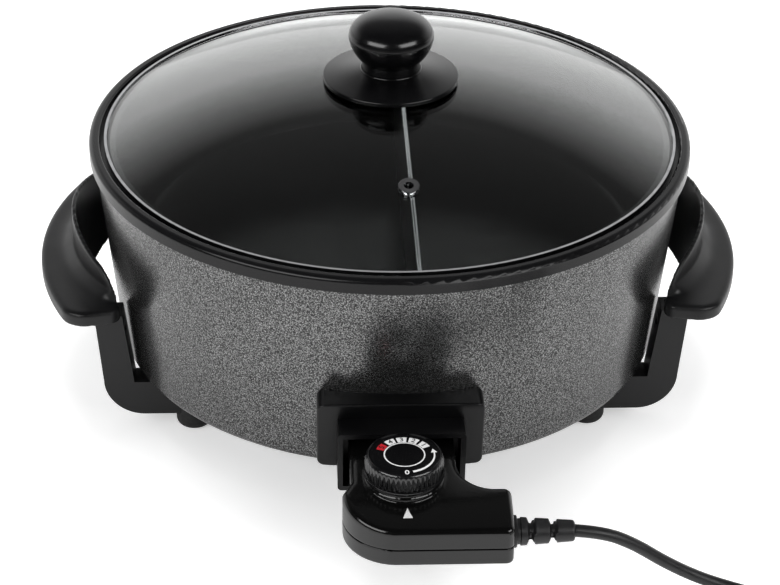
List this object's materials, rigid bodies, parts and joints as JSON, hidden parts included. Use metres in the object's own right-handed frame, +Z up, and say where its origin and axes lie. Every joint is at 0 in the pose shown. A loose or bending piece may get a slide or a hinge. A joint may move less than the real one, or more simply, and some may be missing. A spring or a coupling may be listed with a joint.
{
  "type": "electric skillet",
  "caption": "Deep round electric skillet: divided pan in a hammertone casing, lift-off glass lid, two handles on legs, plug-in controller with a dial and cord.",
  "frame": {"origin": "on the floor plane under the pan's axis", "axes": "+Z up; -Y towards the inlet and its plug-in controller; +X to the right of someone who faces the controller"},
  "size_m": [0.5071, 0.5483, 0.2402],
  "materials": {
    "nonstick_black": "satin black non-stick coating on aluminium",
    "nonstick_grey": "satin dark grey non-stick coating on aluminium",
    "hammertone_paint": "dark grey hammertone paint",
    "zinc_steel": "zinc plated",
    "aluminised_sheet": "dull rolled sheet",
    "element_sheath": "dark oxidised sheath",
    "cast_aluminium": "as cast",
    "black_bakelite": "matte moulded phenolic",
    "black_rubber": "matte",
    "steatite": "unglazed",
    "nickel_brass": "nickel plated",
    "lid_glass_clear": "clear toughened glass",
    "polished_steel": "polished stainless steel",
    "black_knob": "satin moulded phenolic",
    "silicone_seal": "matte",
    "controller_gloss": "glossy black",
    "dial_black": "satin",
    "dial_print": "printed, satin",
    "cord_rubber": "matte",
    "lead_insulation": "silicone sleeve",
    "tie_plastic": "soft plastic strap"
  },
  "bodies": {
    "base": {"pan_insert": "nonstick_black", "casing_shell": "hammertone_paint", "bottom_plate": "zinc_steel", "heat_shield": "aluminised_sheet", "heating_element": "element_sheath", "element_clamps": "zinc_steel", "element_nuts": "zinc_steel", "probe_sleeve": "cast_aluminium", "inlet_housing": "black_bakelite", "terminal_block": "steatite", "left_terminal_pin": "nickel_brass", "right_terminal_pin": "nickel_brass", "earth_spring": "nickel_brass", "inlet_screws": "zinc_steel", "right_handle": "black_bakelite", "left_handle": "black_bakelite", "front_right_leg": "black_bakelite", "rear_right_leg": "black_bakelite", "front_left_leg": "black_bakelite", "rear_left_leg": "black_bakelite", "front_right_foot": "black_rubber", "rear_right_foot": "black_rubber", "front_left_foot": "black_rubber", "rear_left_foot": "black_rubber", "leg_screws": "zinc_steel", "foot_screws": "zinc_steel", "leg_nuts": "zinc_steel", "handle_screws": "zinc_steel"},
    "divider": {"divider_plate": "nonstick_grey"},
    "lid": {"lid_glass": "lid_glass_clear", "lid_hoop": "polished_steel", "knob_base": "black_knob", "lid_knob": "black_knob", "knob_screw": "zinc_steel", "knob_washer": "silicone_seal", "vent_eyelet": "polished_steel"},
    "controller": {"controller_cover": "controller_gloss", "controller_base": "controller_gloss", "controller_screws": "zinc_steel", "sensor_probe": "polished_steel", "left_contact": "nickel_brass", "right_contact": "nickel_brass", "contact_carrier": "steatite", "thermostat_frame": "zinc_steel", "switch_blades": "nickel_brass", "cord_clamp": "black_bakelite", "clamp_screws": "zinc_steel", "strain_relief": "cord_rubber", "internal_leads": "lead_insulation", "power_cord": "cord_rubber", "cord_coil": "cord_rubber", "cord_tie": "tie_plastic", "plug_lead": "cord_rubber", "mains_plug": "cord_rubber", "plug_pins": "nickel_brass", "earth_clips": "nickel_brass"},
    "dial": {"dial_knob": "dial_black", "dial_face": "dial_print", "dial_shaft": "zinc_steel"}
  },
  "joints": [
    {"name": "divider_lift", "type": "slide", "parent": "base", "child": "divider", "axis": [0, 0, 1], "range_m": [0, 0.1]},
    {"name": "lid_lift", "type": "slide", "parent": "divider", "child": "lid", "axis": [0, 0, 1], "range_m": [0, 0.15]},
    {"name": "controller_unplug", "type": "slide", "parent": "base", "child": "controller", "axis": [0, -1, 0], "range_m": [0, 0.12]},
    {"name": "dial_turn", "type": "hinge", "parent": "controller", "child": "dial", "pos_m": [0, -0.221, 0.0709], "axis": [0, 0, -1], "range_deg": [0, 235]}
  ]
}
